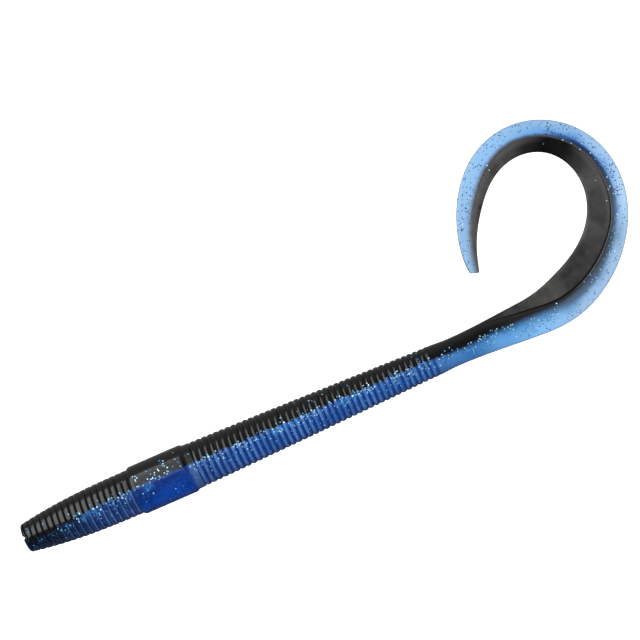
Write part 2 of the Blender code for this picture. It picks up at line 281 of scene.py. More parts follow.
def grooves():
    """Places of the grooves, on the head and on the body."""
    head = np.linspace(NOSE_LIP, SAC_START, HEAD_RIBS + 1)
    share = np.linspace(0, 1, BODY_RIBS + 1)
    body = SAC_END + COLLAR + (BODY_LENGTH - COLLAR) * share * (1 + PITCH_CHANGE * (1 - share))
    return head, body


HEAD_GROOVES, BODY_GROOVES = grooves()


def rib_phase(s):
    """0 at a rib's groove towards the nose, 1 at the next, and a half on plain stretches."""
    phase = np.full(np.shape(s), 0.5)
    for cuts in (HEAD_GROOVES, BODY_GROOVES):
        i = np.clip(np.searchsorted(cuts, s + HAIR, side="right") - 1, 0, len(cuts) - 2)
        inside = (s > cuts[0] - HAIR) & (s < cuts[-1] + HAIR)
        phase = np.where(inside, np.clip((s - cuts[i]) / (cuts[i + 1] - cuts[i]), 0, 1), phase)
    return phase


def rib_crest(s):
    """1 on a crest and on plain stretches, 0 in a groove."""
    fullness = np.where(s < SAC_START + HAIR, HEAD_RIB_FULLNESS, BODY_RIB_FULLNESS)
    return 1 - np.abs(2 * rib_phase(s) - 1) ** fullness


def rib_highlight(s):
    """1 where a painted highlight makes the blue pale: a rib's side towards the nose, or on the head a
    thin line.
    """
    phase = rib_phase(s)
    wide = ease((phase - 0.04) / 0.14) * (1 - ease((phase - 0.5) / 0.16))
    thin = 0.16 * wide + np.clip(1.25 - np.abs(phase - 0.8) / 0.13, 0, 1)
    return np.where((s < SAC_START - HAIR) & (s > HEAD_GROOVES[0]), thin, wide)


def rib_depth(s):
    """How deep the surface lies below the crests."""
    edges = np.concatenate([HEAD_GROOVES, BODY_GROOVES])
    depth = np.interp(s, edges, RIB_DEPTH * RIB_VARIATION[: len(edges)])
    at_wrist = np.clip((BODY_END - s) / WRIST_FADE, FAINTEST_AT_WRIST, 1)
    at_sac = np.clip(np.maximum(SAC_START - s, s - SAC_END) / SAC_FADE, FAINTEST_AT_SAC, 1)
    return depth * (1 - rib_crest(s)) * at_wrist * at_sac


print("rib pitch, mm:", round(np.diff(HEAD_GROOVES)[0] / MM, 2), round(np.diff(BODY_GROOVES)[0] / MM, 2))

# %% [markdown]
# One function gives the surface anywhere: a place along the worm, a share of the width, and the top
# or the underside. The round part is an ellipse. The ribbon has a flat web, a bead that rises out
# of the crease and falls to the thin blade, and a rounded edge on both sides.

# %% The surface of the casting
BEAD_PEAK, BEAD_GONE, BEAD_GROWTH, BEAD_LEAST = 0.6, 0.02, 0.10, 0.25
THIN_SHARE, EDGE_POWER = 0.8, 4
NOTCH_SHARE, NOTCH_HALF_SHARE, NOTCH_DEPTH = 0.43, 0.08, 0.6 * MM


def ribbon_half(s, share):
    """Half the thickness where the section is a ribbon."""
    full = thickness(s)
    web, blade = (np.minimum(side, THIN_SHARE * full) / 2 for side in (WEB_THICKNESS, BLADE_THICKNESS))
    crease, seam = crease_share(s), black_share(s)
    peak = crease + BEAD_PEAK * (seam - crease)
    toe = seam + smooth(along_tail(BEAD_FALL), s)
    top = web + (full / 2 - web) * np.clip((seam - crease - BEAD_GONE) / BEAD_GROWTH, BEAD_LEAST, 1)
    rise = np.clip((share - crease) / (peak - crease), 0, 1)
    fall = np.clip((share - peak) / (toe - peak), 0, 1)
    height = web + (top - web) * np.sqrt(1 - (1 - rise) ** 2)
    height = np.where(share > peak, top + (blade - top) * ease(fall), height)
    return height * np.clip(1 - (2 * share - 1) ** EDGE_POWER, 0, 1) ** (1 / EDGE_POWER)


def half_thickness(s, share):
    shrink = 1 - 2 * rib_depth(s) / width(s)
    round_half = 0.5 * thickness(s) * np.sqrt(np.clip(1 - (2 * share - 1) ** 2, 0, 1)) * shrink
    return round_half + (ribbon_half(s, share) - round_half) * flatness(s)


def lie(s):
    """Height of the middle of the casting, lying on its side and over its egg sac."""
    away = np.maximum(np.maximum(SAC_START - s, s - SAC_END), 0.0) / SAC_LIFT_RUN
    proud = (EGG_SAC_DIAMETER - blank_diameter(np.clip(s, SAC_START, SAC_END))) / 2
    base = np.where(s <= BODY_END, blank_diameter(s), flat_thickness(s))
    return base / 2 + proud * (1 - ease(away))


def surface(s, share, level):
    """Points of the surface: level is 1 on top, -1 underneath."""
    dent = np.clip(1 - np.abs(share - NOTCH_SHARE) / NOTCH_HALF_SHARE, 0, 1)
    slant = TIP_SLANT_INNER + (TIP_SLANT_OUTER - TIP_SLANT_INNER) * share
    moved = s + NOTCH_DEPTH * dent * np.clip(1 - s / (3 * NOTCH_DEPTH), 0, 1)
    moved = moved + slant * np.clip(1 - (TIP - s) / TIP_SLANT_RUN, 0, 1)
    x, y, heading = (np.interp(moved, LINE[0], column) for column in LINE[1:])
    across = (0.5 - share) * (width(s) - 2 * rib_depth(s))
    up = level * half_thickness(s, share)
    return np.stack([NOSE[0] + x - across * np.sin(heading), NOSE[1] + y + across * np.cos(heading),
                     lie(s) + up], axis=-1)


def middle_at(s):
    """The point on the middle line at a place along the worm."""
    x, y = (float(np.interp(s, LINE[0], column)) for column in LINE[1:3])
    return NOSE[0] + x, NOSE[1] + y, float(lie(np.array(s)))


print("egg sac top, mm:", (surface(np.array([SAC_MIDDLE]), np.array([0.5]), 1) / MM).round(2))

# %% [markdown]
# Real soft plastic bends everywhere. The frame has a hinge every few centimetres, so the casting is
# made in spans that each cross one hinge. Spans meet in the groove between two ribs where they can,
# and the stiff egg sac is one span that doesn't bend at all.

# %% Spans between the hinges
ORDER = ["collar_arch", "body_sway_1", "body_arch_2", "body_sway_3", "waist_arch", "tail_wag",
         "tail_uncurl"] + [f"tail_uncurl_{n}" for n in range(2, 9)]


def hinge_place(name):
    """How far along the worm a hinge lies: the nearest point of the middle line."""
    joint = joints[name]
    x, y, _ = joint["pos_m"]
    return float(LINE[0][np.argmin((LINE[1] + NOSE[0] - x) ** 2 + (LINE[2] + NOSE[1] - y) ** 2)])


def to_groove(s):
    """Moves a seam on the ribbed body to its nearest groove."""
    return float(BODY_GROOVES[np.argmin(np.abs(BODY_GROOVES - s))]) if s < BODY_END else s


def make_spans():
    """(name, start, end, the hinge it crosses or None), from the nose to the tip."""
    places = [hinge_place(name) for name in ORDER]
    seams = [SAC_END] + [to_groove((a + b) / 2) for a, b in zip(places, places[1:])] + [TIP]
    spans = [("head", 0.0, SAC_START, "neck_sway"), ("egg_sac", SAC_START, SAC_END, None)]
    return spans + [(joints[name]["child"], a, b, name) for name, a, b in zip(ORDER, seams, seams[1:])]


SPANS = make_spans()
for name, start, end, hinge in SPANS:
    print(f"{name:8s} {start / MM:6.2f} to {end / MM:6.2f} mm, over {hinge}")

# %% [markdown]
# Each span is two pieces, a black back and a blue belly. A piece starts as one thin slice of half a
# round bar: a cylinder without ends, bisected down its middle, with the flat side bridged. An Array
# modifier repeats the slice along the span and merges it, and the two open ends are filled. It is
# how one would do it by hand, and it gives even rings of squares that follow the form.

# %% A straight half-round blank
AROUND = 96
SLICE = 0.2 * MM
MERGE, TOUCH = SLICE / 100, SLICE / 1000
BLANK_RADIUS = EGG_SAC_DIAMETER / 2


def switch(mode):
    bpy.ops.object.mode_set(mode=mode)


def deselect():
    """Leaves edit mode, with nothing selected."""
    if bpy.context.object and bpy.context.object.mode == "EDIT":
        switch("OBJECT")
    bpy.ops.object.select_all(action="DESELECT")


def pick(piece, kind, chosen):
    """Selects the vertices, edges or faces that a test chooses, then opens edit mode."""
    switch("EDIT")
    bpy.ops.mesh.select_mode(type=kind)
    bpy.ops.mesh.select_all(action="DESELECT")
    switch("OBJECT")
    parts = {"VERT": piece.data.vertices, "EDGE": piece.data.edges, "FACE": piece.data.polygons}[kind]
    for part in parts:
        part.select = bool(chosen(part))
    switch("EDIT")


def blank(name, is_back, slices):
    """A straight bar with its flat side on y = 0, from x = 0 in even slices."""
    deselect()
    bpy.ops.mesh.primitive_cylinder_add(
        vertices=AROUND, radius=BLANK_RADIUS, depth=SLICE, end_fill_type="NOTHING",
        location=(SLICE / 2, 0, 0), rotation=(0, math.pi / 2, 0))
    piece = bpy.context.object
    piece.name = piece.data.name = name
    bpy.ops.object.transform_apply(location=True, rotation=True, scale=True)
    switch("EDIT")
    bpy.ops.mesh.bisect(plane_co=(0, 0, 0), plane_no=(0, 1, 0), threshold=TOUCH,
                        clear_inner=is_back, clear_outer=not is_back)
    switch("OBJECT")
    points = piece.data.vertices
    pick(piece, "EDGE", lambda edge: all(abs(points[v].co.y) < MERGE for v in edge.vertices))
    bpy.ops.mesh.bridge_edge_loops()
    switch("OBJECT")
    array = piece.modifiers.new("slices", "ARRAY")
    array.count = slices
    array.use_relative_offset = False
    array.use_constant_offset = True
    array.constant_offset_displace = (SLICE, 0, 0)
    array.use_merge_vertices = True
    array.merge_threshold = MERGE
    bpy.ops.object.modifier_apply(modifier=array.name)
    switch("EDIT")
    bpy.ops.mesh.select_all(action="SELECT")
    bpy.ops.mesh.fill_holes(sides=0)
    bpy.ops.mesh.normals_make_consistent(inside=False)
    switch("OBJECT")
    return piece

# %% [markdown]
# The blunt nose has a small upright notch. The flat end of its blank is first divided into upright
# strips, cut by planes through the corners it already has, because one face can't follow a notch.

# %% Strips across the end of the nose
NOTCH_CORNERS = range(17, 23)
NOTCH_TURNS = [math.radians(360 / AROUND * corner) for corner in NOTCH_CORNERS]


def split_nose(piece):
    for turn in NOTCH_TURNS:
        pick(piece, "FACE", lambda face: face.normal.x < -0.9)
        bpy.ops.mesh.bisect(plane_co=(0, BLANK_RADIUS * math.cos(turn), 0), plane_no=(0, 1, 0),
                            threshold=TOUCH)
        switch("OBJECT")

# %% [markdown]
# The straight blank is then pressed to the shape of the mould: each vertex knows from its slice how
# far along it is, and from its angle where it is across the width. Eight rings go to each rib, and
# the rings close up at the nose and the tip, where the ends are rounded. The mesh also notes, for
# its material, where each vertex ended up.

# %% Rings along a span, and columns across it
SMOOTH_STEP = 0.55 * MM
END_RINGS = 9


def rings(start, end):
    """Where the rings of a span are."""
    cuts = np.concatenate([HEAD_GROOVES, BODY_GROOVES])
    places = [start]
    while places[-1] < end - HAIR:
        here = places[-1]
        beyond = cuts[cuts > here + HAIR]
        ribbed = len(beyond) and not SAC_START - HAIR < here < SAC_END - HAIR
        if ribbed:
            places += list(np.linspace(here, beyond[0], RIB_STEPS + 1)[1:])
        else:
            stop = min([end] + [cut for cut in (SAC_START + SAC_SHOULDER, SAC_END - SAC_SHOULDER)
                                if cut > here + HAIR])
            count = max(int(math.ceil((stop - here) / SMOOTH_STEP)), 1)
            places += list(np.linspace(here, stop, count + 1)[1:])
    places = np.array(places)
    for tip, radius in ((0.0, NOSE_ROUND), (TIP, 1.5 * TIP_ROUND)):
        if tip in (start, end):
            close = tip + np.sign((start + end) / 2 - tip) * radius * np.linspace(0, 1, END_RINGS) ** 2
            places = np.sort(np.concatenate([places[np.abs(places - tip) > radius], close]))
    return places


def shares(s, turn, is_back):
    """Share of the width for each vertex: turn is 0 at the inner edge and pi at the outer.

    On the ribbon the back has two thirds of its columns on the web, and one third on the bead.
    """
    seam = black_share(s)
    wall = np.arccos(1 - 2 * seam)
    if is_back:
        u = np.clip(turn / (math.pi / 2), 0, 1)
        plain = (1 - np.cos(wall * u)) / 2
        at_crease = (1 - np.cos(wall * 2 / 3)) / 2
        moved = np.where(u < 2 / 3, plain * crease_share(s) / at_crease,
                         seam - (seam - plain) * (seam - crease_share(s)) / (seam - at_crease))
        return plain + (moved - plain) * ease((s - BODY_END) / (6 * MM))
    v = np.clip((math.pi - turn) / (math.pi / 2), 0, 1)
    v = 1 - (1 - v) ** (1 + 0.5 * flatness(s))
    return (1 - np.cos(math.pi - (math.pi - wall) * v)) / 2


def press(piece, is_back, places):
    """Moves the vertices of a blank to the surface of the casting, and stores where they are."""
    count = len(piece.data.vertices)
    at = np.zeros(count * 3)
    piece.data.vertices.foreach_get("co", at)
    x, y, z = at.reshape(-1, 3).T
    s = places[np.rint(x / SLICE).astype(int)]
    share = shares(s, np.arctan2(np.abs(z), y), is_back)
    piece.data.vertices.foreach_set("co", surface(s, share, np.sign(np.round(z, 9))).ravel())
    # the first four in mm: from the nose, past the seam, in from the crease, in from the outer edge
    notes = {
        "along": s / MM,
        "beyond": (share - black_share(s)) * width(s) / MM,
        "inside": (crease_share(s) - share) * width(s) / MM,
        "rim": (1 - share) * width(s) / MM,
        "crest": rib_crest(s),
        "stripe": rib_highlight(s),
    }
    for label, values in notes.items():
        layer = piece.data.attributes.new(label, "FLOAT", "POINT")
        layer.data.foreach_set("value", values.astype(np.float32))
    piece.data.update()


print("rings on the head and the egg sac:", len(rings(0.0, SAC_START)), len(rings(SAC_START, SAC_END)))

# %% [markdown]
# Materials are written as sums. This class wraps one output of a node, so that an ordinary Python
# expression adds the Math nodes that work it out. Colours aren't numbers, so they go through Mix
# nodes, and any other node is made by one method.

# %% Sums on sockets, and a material to write them in
class Amount:
    """A number that varies over a surface."""

    def __init__(self, finish, socket):
        self.finish, self.socket = finish, socket

    def sum(self, operation, *values):
        return self.finish.node("ShaderNodeMath", {"operation": operation}, dict(enumerate(values)))

    def __add__(self, other):
        return self.sum("ADD", self, other)

    def __sub__(self, other):
        return self.sum("SUBTRACT", self, other)

    def __rsub__(self, other):
        return self.sum("SUBTRACT", other, self)

    def __mul__(self, other):
        return self.sum("MULTIPLY", self, other)

    def __truediv__(self, other):
        return self.sum("DIVIDE", self, other)

    def __pow__(self, other):
        return self.sum("POWER", self, other)

    __radd__ = __add__
    __rmul__ = __mul__

    def step(self, low, high):
        """0 at low, 1 at high, and a soft S between."""
        return self.finish.node("ShaderNodeMapRange", {"interpolation_type": "SMOOTHSTEP"},
                                {"Value": self, "From Min": float(low), "From Max": float(high)})

    def band(self, rise, full, fade, gone):
        """1 from full to fade, 0 before rise and after gone, and soft between."""
        return self.step(rise, full) * (1 - self.step(fade, gone))


class Finish:
    """One material, with its Principled shader."""

    def __init__(self, name):
        self.material = bpy.data.materials.new(name)
        self.material.use_nodes = True
        self.nodes = self.material.node_tree.nodes
        self.links = self.material.node_tree.links
        self.shader = self.nodes["Principled BSDF"]

    def join(self, value, socket):
        if isinstance(value, Amount):
            self.links.new(value.socket, socket)
        else:
            socket.default_value = value

    def node(self, kind, settings, inputs, output=0):
        made = self.nodes.new(kind)
        for key, value in settings.items():
            if key == "stops":
                made.color_ramp.interpolation = "EASE"
                for n, (place, colour) in enumerate(value):
                    ramp = made.color_ramp.elements
                    stop = ramp[n] if n < 2 else ramp.new(place)
                    stop.position, stop.color = place, (*colour, 1.0)
            else:
                setattr(made, key, value)
        for key, value in inputs.items():
            self.join(value, made.inputs[key])
        return Amount(self, made.outputs[output])

    def read(self, label):
        return self.node("ShaderNodeAttribute", {"attribute_name": label}, {}, "Fac")

    def place(self):
        return self.node("ShaderNodeTexCoord", {}, {}, "Object")

    def noise(self, scale, detail, rough=0.5):
        return self.node("ShaderNodeTexNoise", {}, {"Vector": self.place(), "Scale": scale,
                                                    "Detail": detail, "Roughness": rough}, "Fac")

    def mix(self, share, first, second):
        return self.node("ShaderNodeMix", {"data_type": "RGBA"},
                         {0: share, 6: first, 7: second}, 2)

    def ramp(self, value, stops):
        return self.node("ShaderNodeValToRGB", {"stops": stops}, {0: value})

    def set(self, sockets):
        for label, value in sockets.items():
            self.join(value, self.shader.inputs[label])

    def bump(self, height, distance, strength):
        normal = self.node("ShaderNodeBump", {}, {"Height": height, "Distance": distance,
                                                  "Strength": strength})
        self.join(normal, self.shader.inputs["Normal"])

# %% [markdown]
# The plastic is clear vinyl with pigment. Light goes some way into the blue, so its colour is deep
# where it is thick, as on the egg sac, and pale where the blade is a millimetre thin. A transparent
# shader would show the walls inside, which the real casting doesn't have, so the depth is painted:
# the colour depends on the place along the worm and on the distance from the black.

# %% The colours of the plastic
def rgb(red, green, blue):
    """A colour given as on a screen, as the linear light that a shader needs."""
    return tuple(((c / 255 + 0.055) / 1.055) ** 2.4 if c > 10 else c / 255 / 12.92
                 for c in (red, green, blue))


BLACK = rgb(15, 15, 16)
BLUE_ALONG = (
    (0, (8, 12, 20)), (8, (8, 16, 28)), (14, (6, 24, 58)), (20, (4, 30, 84)),
    (31, (5, 34, 90)), (31.6, (1, 32, 98)), (39, (1, 36, 106)), (46.4, (2, 38, 112)),
    (47.2, (40, 68, 120)), (49, (14, 54, 120)), (62, (12, 58, 132)), (95, (16, 62, 136)),
    (112, (22, 68, 138)), (118, (38, 84, 150)), (126, (46, 104, 172)),
)
# the paler blue along the worm, in mm: on the ribs it is a painted highlight on each rib's side towards
# the nose
PALE_BLUE_ALONG = (
    (0, (30, 34, 42)), (8, (40, 50, 68)), (14, (70, 96, 142)), (20, (86, 122, 190)),
    (31, (104, 138, 204)), (31.6, (6, 58, 148)), (46.4, (8, 64, 164)), (47.2, (78, 104, 158)),
    (50, (84, 116, 176)), (60, (82, 120, 186)), (95, (78, 120, 186)), (115, (74, 122, 186)),
    (126, (66, 128, 194)),
)
BLADE_NEAR = (
    (125, (58, 112, 168)), (135, (72, 144, 210)), (145, (98, 158, 214)), (158, (106, 144, 184)),
    (171, (102, 138, 174)), (183, (100, 146, 200)), (193, (58, 124, 198)), (203, (90, 148, 216)),
    (211, (110, 166, 224)), (223, (140, 186, 236)), (236, (142, 184, 226)), (253, (140, 178, 214)),
)
BLADE_FAR = (
    (125, (66, 122, 180)), (135, (100, 160, 218)), (145, (132, 186, 234)), (158, (152, 186, 222)),
    (171, (156, 190, 222)), (183, (172, 207, 240)), (193, (156, 194, 232)), (203, (144, 184, 222)),
    (211, (138, 180, 220)), (223, (146, 194, 236)), (236, (148, 192, 232)), (253, (144, 186, 224)),
)
# painted reflection: the grey that the light draws on the flat satin web, along the tail in mm
WEB_REFLECTION_ALONG = (
    (126, (22, 22, 22)), (138, (64, 63, 62)), (147, (76, 75, 73)), (157, (54, 53, 52)),
    (172, (62, 60, 60)), (184, (56, 54, 54)), (190, (72, 70, 70)), (196, (42, 40, 40)),
    (202, (14, 13, 13)), (208, (8, 8, 8)), (213, (28, 26, 26)), (218, (58, 55, 54)),
    (224, (78, 75, 72)), (236, (82, 78, 75)), (253, (78, 74, 69)),
)
# in mm: how far the blue reaches past the line of the pour, and over what width it fades
REACH_ALONG = (
    (0, 0.0), (14, 0.0), (21, 0.5), (29, 0.2), (34, 0.7), (48, 0.45), (112, 0.4),
    (124, -0.4), (134, -0.1), (144, 0.7), (157, 0.3), (176, 0.0), (190, -0.3),
    (202, 0.0), (222, -0.1), (236, 0.1), (250, 0.6),
)
FADE_ALONG = (
    (0, 0.5), (112, 0.5), (118, 1.0), (128, 1.6), (136, 2.1), (160, 2.4), (180, 1.6),
    (194, 0.9), (206, 0.9), (222, 1.1), (250, 1.6),
)
BEAD_GREY = rgb(34, 33, 34)
STEP_HIGHLIGHT_GREY = rgb(88, 86, 88)
POUR_BLEND_GREY = rgb(84, 92, 104)
RIM_SHADE, RIM_HIGHLIGHT, RIM_DUSKY_SHADE = rgb(16, 18, 24), rgb(128, 132, 146), rgb(44, 54, 84)
GROOVE_SHADE_NAVY = rgb(8, 30, 84)
AZURE = rgb(58, 146, 226)


def solid(colour):
    return (*colour, 1.0)


def along_ramp(finish, along, stops, look=lambda colour: rgb(*colour)):
    """A colour that changes with the place along the worm, given in mm."""
    first, last = stops[0][0], stops[-1][0]
    return finish.ramp((along - first) / (last - first),
                       [((place - first) / (last - first), look(value)) for place, value in stops])


def level_along(finish, along, stops):
    """A number that changes with the place along the worm, carried by a ramp of greys."""
    low, high = min(value for _, value in stops), max(value for _, value in stops)
    grey = along_ramp(finish, along, stops, lambda value: 3 * ((value - low) / (high - low),))
    return grey * (high - low) + low


def seam_wander(finish, along):
    """How far the line between the pours strays from its place, in mm."""
    wander = (finish.noise(500.0, 4.0, 0.65) - 0.5) * 2.4
    return wander * (1 - along.step(112, 125) * 0.75)


def blueness(finish, along, beyond):
    """0 in the black, 1 in the blue, with a sharp edge on the body and a soft one on the tail."""
    reach = level_along(finish, along, REACH_ALONG)
    fade = level_along(finish, along, FADE_ALONG)
    return ((beyond + reach + seam_wander(finish, along)) / fade).step(-0.45, 0.9)


def ribbed_blue(finish, along, beyond, stripe, crest):
    """The blue of the round part: each rib has a painted highlight on its side towards the nose, is deep
    towards the tail, and has painted shade in its groove.
    """
    deep = along_ramp(finish, along, BLUE_ALONG)
    pale = along_ramp(finish, along, PALE_BLUE_ALONG)
    cloud = finish.noise(230.0, 3.0, 0.6).step(0.3, 0.7)
    on_sac = along.band(31.1, 31.5, 46.4, 46.9)
    depth = on_sac * (0.15 + beyond.step(0.0, 4.5) * 0.85) + (1 - on_sac)
    colour = finish.mix(stripe * (0.35 + cloud * 0.65) * depth, deep, pale)
    # painted shade: navy in the grooves between the ribs
    return finish.mix((1 - crest.step(0.0, 0.6)) * 0.6, colour, solid(GROOVE_SHADE_NAVY))


def blade_blue(finish, along, beyond, rim):
    """The blue of the ribbon: deep beside the black, pale where it is thin."""
    reach = beyond / (beyond + rim)
    patch = finish.noise(130.0, 2.0).step(0.35, 0.65)
    outward = (reach + (patch - 0.5) * 0.3).step(0.08, 0.85)
    return finish.mix(outward, along_ramp(finish, along, BLADE_NEAR),
                      along_ramp(finish, along, BLADE_FAR))


def flecks(finish, scale, low, high):
    """Glitter deep in the plastic, seen only as soft dots."""
    dots = finish.node("ShaderNodeTexVoronoi", {}, {"Vector": finish.place(), "Scale": scale}, "Distance")
    return 1 - dots.step(low, high)


def glitter_and_painted_glow(finish, along, beyond):
    """Where glitter has clumped along the line: soft dots of glitter deep in the plastic, and a painted
    glow in the blue around them.
    """
    clump = finish.noise(170.0, 2.0).step(0.5, 0.66)
    near = beyond.band(-1.2, -0.2, 0.6, 2.4)
    onset = along.band(6, 14, 126, 140)
    return clump * near * onset * 0.85 * (0.25 + flecks(finish, 2300.0, 0.2, 0.5) * 0.75)


def painted_edge_light(finish, colour, along, rim):
    """Painted light along the outline: a dusky painted shade on the belly's edge, and on the ribbon, whose
    edge bends light, a painted dark line and a painted pale one.
    """
    ribbon = along.step(118, 134)
    slim = rim / (1 - ribbon * 0.5)
    dusk = (1 - slim.step(0.0, 1.9)) * (1 - along.step(114, 132)) * 0.62
    pale = slim.band(0.24, 0.38, 0.5, 0.8) * ribbon * 0.38
    dark = (1 - slim.step(0.1, 0.32)) * ribbon * 0.95
    colour = finish.mix(dusk, colour, solid(RIM_DUSKY_SHADE))
    colour = finish.mix(pale, colour, solid(RIM_HIGHLIGHT))
    return finish.mix(dark, colour, solid(RIM_SHADE))


def web_black(finish, along, beyond, inside):
    """Black, with a painted grey reflection on the flat web, painted shade in the crease, and a painted
    highlight at the step.
    """
    cloud = finish.noise(170.0, 3.0, 0.6).step(0.4, 0.62)
    smear = finish.noise(60.0, 5.0, 0.7).step(0.42, 0.6)
    web = along.step(128, 142) * inside.step(0.0, 0.3)
    # painted reflection on the flat web, mottled towards near black
    grey = finish.mix(cloud * 0.45 + smear * 0.5, along_ramp(finish, along, WEB_REFLECTION_ALONG),
                      solid(rgb(18, 17, 17)))
    bead = finish.mix(along.step(128, 142), solid(BLACK), solid(BEAD_GREY))
    # painted highlight: a broad grey band on the black beside the step, left out over part of the bend
    dark_bend = along.band(194, 201, 206, 215)
    band = beyond.step(-2.4, -0.8) * along.step(170, 182) * (1 - dark_bend) * 0.45
    colour = finish.mix(band, finish.mix(web, bead, grey), solid(STEP_HIGHLIGHT_GREY))
    # painted shade: a near black line in the crease between the web and the bead
    crease = inside.band(-0.4, -0.05, 0.05, 0.36) * along.step(130, 138)
    colour = finish.mix(crease * (1 - along.step(182, 192)) * 0.95, colour, solid(rgb(5, 5, 5)))
    # painted highlight: a thin grey line on the rounded edge of the step
    edge = beyond.band(-0.6, -0.3, -0.12, -0.02) * along.step(172, 190)
    return finish.mix(edge * 0.6, colour, solid(STEP_HIGHLIGHT_GREY)), web


def cast_plastic(name):
    """Both pours have one recipe, so their colours run on across the line where they meet."""
    finish = Finish(name)
    along, beyond, rim = finish.read("along"), finish.read("beyond"), finish.read("rim")
    crest, stripe = finish.read("crest"), finish.read("stripe")
    black, web = web_black(finish, along, beyond, finish.read("inside"))
    ribbed = ribbed_blue(finish, along, beyond, stripe, crest)
    blue = finish.mix(along.step(122, 132), ribbed, blade_blue(finish, along, beyond, rim))
    step_shade = (1 - beyond.step(0.7, 1.6)) * along.band(178, 186, 198, 210)
    blue = finish.mix(step_shade * 0.96, blue, solid(rgb(14, 40, 88)))
    blue = finish.mix(flecks(finish, 1900.0, 0.16, 0.34) * 0.22, blue, solid(AZURE))
    blue = finish.mix(glitter_and_painted_glow(finish, along, beyond), blue, solid(AZURE))
    blue = painted_edge_light(finish, blue, along, rim)
    share = blueness(finish, along, beyond)
    # a blue grey where the two pours blend on the tail, from 146 to 192 mm
    pour_blend = share * (1 - share) * 2.0 * along.band(146, 156, 184, 192)
    colour = finish.mix(pour_blend, finish.mix(share, black, blue), solid(POUR_BLEND_GREY))
    grain = finish.noise(420.0, 4.0, 0.6)
    dusty = web * (0.26 - along.band(192, 201, 207, 219) * 0.2)
    finish.set({"Base Color": colour, "Roughness": dusty + 0.15 + grain * 0.08, "IOR": 1.5})
    finish.bump(finish.noise(700.0, 4.0, 0.6), 0.00004, 0.5)
    return finish.material


FINISHES = {slot: cast_plastic(slot) for slot in
            ("back_black", "tail_black", "belly_blue", "sac_blue", "tail_blue")}
print("finishes:", sorted(FINISHES))

# %% [markdown]
# Now every span is made, twice. Each piece gets the material slot of its span and pour, and the
# plain solid that it stands for is hidden. A piece of the egg sac rides on its body, and the others
# keep the place where they are made.

# %% The back and the belly of every span
NECK_BEND = 9 * MM
SHARP_ANGLE = math.radians(50)


def blend_ends(start, end):
    """Two points of the middle line, far enough inside that a whole ring lies outside them."""
    headings = np.interp([start, end], LINE[0], LINE[3])
    lean = math.sin((headings[1] - headings[0]) / 2)
    inset = float(width(np.array([start, end])).max()) / 2 * lean
    return middle_at(start + inset), middle_at(end - inset)


def hold(piece, start, end, hinge):
    """Lets a piece ride on the egg sac when it crosses no hinge; any other piece keeps its place."""
    if hinge is None:
        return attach(piece, "egg_sac")
    first, last = blend_ends(start, end)
    if hinge == "neck_sway":
        first, last = middle_at(SAC_START), middle_at(SAC_START - NECK_BEND)
    if hinge == "tail_uncurl":  # like any other span
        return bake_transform(piece)
    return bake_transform(piece)


def slot_for(name, is_back):
    if is_back:
        return "tail_black" if name.startswith("tail") else "back_black"
    if name == "egg_sac":
        return "sac_blue"
    return "tail_blue" if name.startswith("tail") else "belly_blue"


def cast(name, start, end, hinge, is_back):
    pour = "back" if is_back else "belly"
    places = rings(start, end)
    piece = blank(f"{name}_{pour}_casting", is_back, len(places) - 1)
    if is_back and start == 0.0:
        split_nose(piece)
    press(piece, is_back, places)
    bpy.ops.object.shade_smooth_by_angle(angle=SHARP_ANGLE)
    slot = slot_for(name, is_back)
    piece.data.materials.append(FINISHES[slot])
    hold(piece, start, end, hinge)
    return piece


for name, start, end, hinge in SPANS:
    for is_back in (True, False):
        cast(name, start, end, hinge, is_back)
        pour = "back" if is_back else "belly"
        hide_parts(f"{name}_{pour}")

# %% [markdown]
# Glitter is cut from foil in tiny hexagons and stirred into the vinyl before it is poured. Most of it
# floats to the line between the pours. The flakes in view lie at the skin, each at its own tilt,
# so a few of them flash and the rest stay dim. Some are given a dark navy tint as painted shade,
# for flakes that don't catch the light. One flake is modelled and copied.

# %% One flake, and where the flakes are
FLAKE_WIDTH = 0.44 * MM
FLAKE_THICKNESS = 0.05 * MM


def model_flake():
    """A hexagonal plate, modelled as one and then read as plain arrays."""
    deselect()
    bpy.ops.mesh.primitive_cylinder_add(vertices=6, radius=FLAKE_WIDTH / 2, depth=FLAKE_THICKNESS)
    flake = bpy.context.object
    points = np.array([v.co for v in flake.data.vertices])
    faces = [tuple(face.vertices) for face in flake.data.polygons]
    bpy.data.objects.remove(flake)
    return points, faces


FLAKE_POINTS, FLAKE_FACES = model_flake()
# the fourth tint, dark navy, is painted shade for flakes that don't catch the light
TINTS = (rgb(190, 236, 252), rgb(100, 196, 246), rgb(56, 140, 228), rgb(12, 30, 78), rgb(118, 92, 160))
SHADED_FLAKE_TINT = 3
SMALLEST, LARGEST, DARK_SIZE = 0.7, 1.05, 0.72
CLUMP_SPREAD = 0.9 * MM
EDGE_MARGIN = 0.03


def strew(count, start, end, offset, spread, mixture, clump):
    """Chosen places: along the span, and this far in mm past the line between the pours."""
    s = chance.uniform(start, end, count)
    if clump:
        hearts = np.arange(start, end, clump * MM)
        hearts = hearts + chance.uniform(0.0, 0.8 * clump * MM, len(hearts))
        s = np.clip(chance.choice(hearts, count) + chance.normal(0, CLUMP_SPREAD, count), start, end)
    beyond = chance.normal(offset, spread, count) * MM
    share = black_share(s) + beyond / width(s)
    level = np.where(chance.random(count) < 0.5, 1, -1)
    tint = chance.choice(len(TINTS), count, p=mixture)
    size = chance.uniform(SMALLEST, LARGEST, count) * np.where(tint == SHADED_FLAKE_TINT, DARK_SIZE, 1.0)
    keep = (share > EDGE_MARGIN) & (share < 1 - EDGE_MARGIN)
    return s[keep], share[keep], level[keep], tint[keep], size[keep]


BRIGHT = (0.40, 0.42, 0.18, 0.0, 0.0)
MIXED = (0.10, 0.34, 0.44, 0.08, 0.04)
SHADED_FLAKES = (0.05, 0.05, 0.10, 0.78, 0.02)
